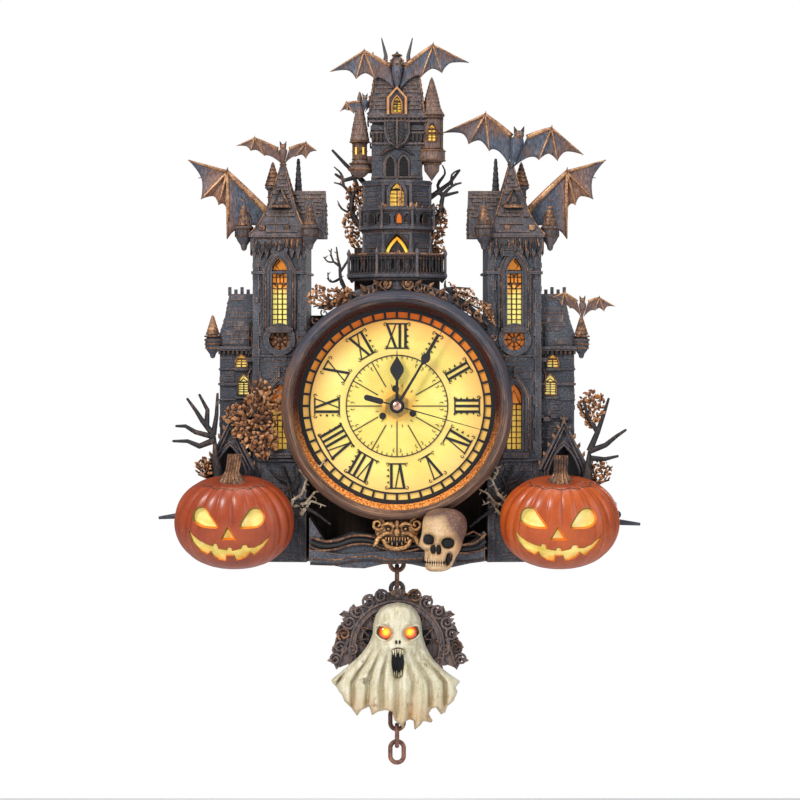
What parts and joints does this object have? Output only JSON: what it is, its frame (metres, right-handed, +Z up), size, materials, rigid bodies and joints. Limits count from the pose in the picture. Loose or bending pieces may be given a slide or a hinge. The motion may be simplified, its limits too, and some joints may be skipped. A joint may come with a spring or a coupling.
{
  "type": "wall clock",
  "caption": "Haunted castle wall clock with a lit dial, bats, pumpkins and a skull, and a ghost pendulum hanging on a chain; the hands, movement and chain move.",
  "frame": {"origin": "centre of the keyhole hanger's round hole, in the plane of the wall", "axes": "+X to the right seen from the front, +Y into the wall, +Z up; the front faces -Y"},
  "size_m": [0.2659, 0.0704, 0.4034],
  "materials": {
    "board_wood": "dark stained board",
    "plate_steel": "zinc plated",
    "switch_black": "moulded",
    "housing_resin": "painted blue grey",
    "dial_amber": "lit translucent amber",
    "dial_black": "black",
    "bezel_wood": "blue grey stain rubbed with copper",
    "castle_resin": "blue grey with copper dry brushing",
    "slate_resin": "dark slate with copper edges",
    "copper_resin": "rubbed copper",
    "window_glow": "lit amber panes",
    "bat_resin": "blue grey and brown with copper bones",
    "tree_resin": "black brown bark",
    "pumpkin_resin": "washed orange",
    "bone_resin": "washed cream and brown",
    "gilt_resin": "rubbed gold",
    "movement_black": "moulded",
    "gear_nylon": "white moulded",
    "gear_brass": "turned",
    "nut_brass": "turned",
    "hand_black": "black",
    "hand_copper": "black with a copper cap",
    "battery_shell": "plain wrapped cell",
    "contact_steel": "spring",
    "circuit_green": "boards with parts",
    "coil_copper": "wound wire on an iron core",
    "chain_bronze": "old copper finish",
    "frame_bronze": "old copper and slate finish",
    "ghost_resin": "cream robe with copper edges"
  },
  "bodies": {
    "castle": {"back_board": "board_wood", "hanger_plate": "plate_steel", "screws": "plate_steel", "dial_housing": "housing_resin", "dial_plate": "dial_amber", "dial_markings": "dial_black", "chapter_ring": "dial_black", "bezel_ring": "bezel_wood", "bezel_crest": "copper_resin", "movement_case": "movement_black", "movement_lid": "movement_black", "battery": "battery_shell", "battery_contacts": "contact_steel", "circuit_boards": "circuit_green", "drive_coil": "coil_copper", "mounting_nut": "nut_brass", "base_rail": "castle_resin", "mascaron": "gilt_resin", "porches": "castle_resin", "centre_tower": "castle_resin", "lower_balcony": "castle_resin", "upper_balcony": "castle_resin", "centre_roof": "slate_resin", "bartizans": "slate_resin", "left_tower": "castle_resin", "left_tower_roof": "slate_resin", "right_tower": "castle_resin", "right_tower_roof": "slate_resin", "side_houses": "castle_resin", "window_panes": "window_glow", "top_bat": "bat_resin", "left_bat": "bat_resin", "right_bat": "bat_resin", "small_bats": "bat_resin", "side_wings": "bat_resin", "bare_trees": "tree_resin", "foliage": "copper_resin", "pumpkins": "pumpkin_resin", "skull": "bone_resin", "pendulum_eye": "chain_bronze"},
    "second_train": {"second_wheel": "gear_nylon", "second_hand": "hand_copper"},
    "fifth_arbor": {"fifth_wheel": "gear_nylon"},
    "rotor": {"rotor_pinion": "gear_nylon"},
    "third_arbor": {"third_wheel": "gear_nylon"},
    "centre_arbor": {"centre_wheel": "gear_brass"},
    "minute_train": {"minute_pipe": "gear_brass", "minute_hand": "hand_black"},
    "work_arbor": {"minute_work_wheel": "gear_nylon"},
    "hour_train": {"hour_wheel": "gear_nylon", "hour_hand": "hand_black"},
    "knob": {"setting_knob": "gear_nylon"},
    "lamp_switch": {"light_switch": "switch_black"},
    "link_1": {"chain_link_1": "chain_bronze"},
    "link_2": {"chain_link_2": "chain_bronze"},
    "medallion": {"pendulum_frame": "frame_bronze", "ghost": "ghost_resin"},
    "link_3": {"chain_link_3": "chain_bronze"},
    "link_4": {"chain_link_4": "chain_bronze"},
    "link_5": {"chain_link_5": "chain_bronze"}
  },
  "joints": [
    {"name": "second_spin", "type": "hinge", "parent": "castle", "child": "second_train", "pos_m": [0, -0.03, -0.068], "axis": [0, 1, 0], "continuous": true},
    {"name": "fifth_spin", "type": "hinge", "parent": "castle", "child": "fifth_arbor", "pos_m": [-0.00826, -0.03, -0.06222], "axis": [0, 1, 0], "continuous": true},
    {"name": "rotor_spin", "type": "hinge", "parent": "castle", "child": "rotor", "pos_m": [-0.01546, -0.03, -0.06222], "axis": [0, 1, 0], "continuous": true},
    {"name": "third_spin", "type": "hinge", "parent": "castle", "child": "third_arbor", "pos_m": [0.00944, -0.03, -0.06139], "axis": [0, 1, 0], "continuous": true},
    {"name": "centre_spin", "type": "hinge", "parent": "castle", "child": "centre_arbor", "pos_m": [0, -0.03, -0.068], "axis": [0, 1, 0], "continuous": true},
    {"name": "minute_spin", "type": "hinge", "parent": "castle", "child": "minute_train", "pos_m": [0, -0.03, -0.068], "axis": [0, 1, 0], "continuous": true},
    {"name": "work_spin", "type": "hinge", "parent": "castle", "child": "work_arbor", "pos_m": [0, -0.03, -0.0584], "axis": [0, 1, 0], "continuous": true},
    {"name": "hour_spin", "type": "hinge", "parent": "castle", "child": "hour_train", "pos_m": [0, -0.03, -0.068], "axis": [0, 1, 0], "continuous": true},
    {"name": "knob_spin", "type": "hinge", "parent": "castle", "child": "knob", "pos_m": [0, -0.03, -0.0488], "axis": [0, 1, 0], "continuous": true},
    {"name": "lamp_switch_slide", "type": "slide", "parent": "castle", "child": "lamp_switch", "axis": [1, 0, 0], "range_m": [0, 0.003]},
    {"name": "link_1_swing", "type": "hinge", "parent": "castle", "child": "link_1", "pos_m": [0, -0.027, -0.14997], "axis": [0, 1, 0], "range_deg": [-12, 12]},
    {"name": "link_2_swing", "type": "hinge", "parent": "link_1", "child": "link_2", "pos_m": [0, -0.027, -0.15663], "axis": [0, 1, 0], "range_deg": [-10, 10]},
    {"name": "medallion_swing", "type": "hinge", "parent": "link_2", "child": "medallion", "pos_m": [0, -0.027, -0.16833], "axis": [0, 1, 0], "range_deg": [-15, 15]},
    {"name": "link_3_swing", "type": "hinge", "parent": "medallion", "child": "link_3", "pos_m": [0, -0.027, -0.23797], "axis": [0, 1, 0], "range_deg": [-20, 20]},
    {"name": "link_4_swing", "type": "hinge", "parent": "link_3", "child": "link_4", "pos_m": [0, -0.027, -0.24463], "axis": [0, 1, 0], "range_deg": [-20, 20]},
    {"name": "link_5_swing", "type": "hinge", "parent": "link_4", "child": "link_5", "pos_m": [0, -0.027, -0.25633], "axis": [0, 1, 0], "range_deg": [-20, 20]}
  ],
  "couplings": [
    {"joint": "fifth_spin", "follows": "second_spin", "ratio": -6},
    {"joint": "rotor_spin", "follows": "second_spin", "ratio": 30},
    {"joint": "third_spin", "follows": "second_spin", "ratio": -0.13333},
    {"joint": "centre_spin", "follows": "second_spin", "ratio": 0.016667},
    {"joint": "work_spin", "follows": "minute_spin", "ratio": -0.33333},
    {"joint": "hour_spin", "follows": "minute_spin", "ratio": 0.083333},
    {"joint": "knob_spin", "follows": "minute_spin", "ratio": 1}
  ]
}
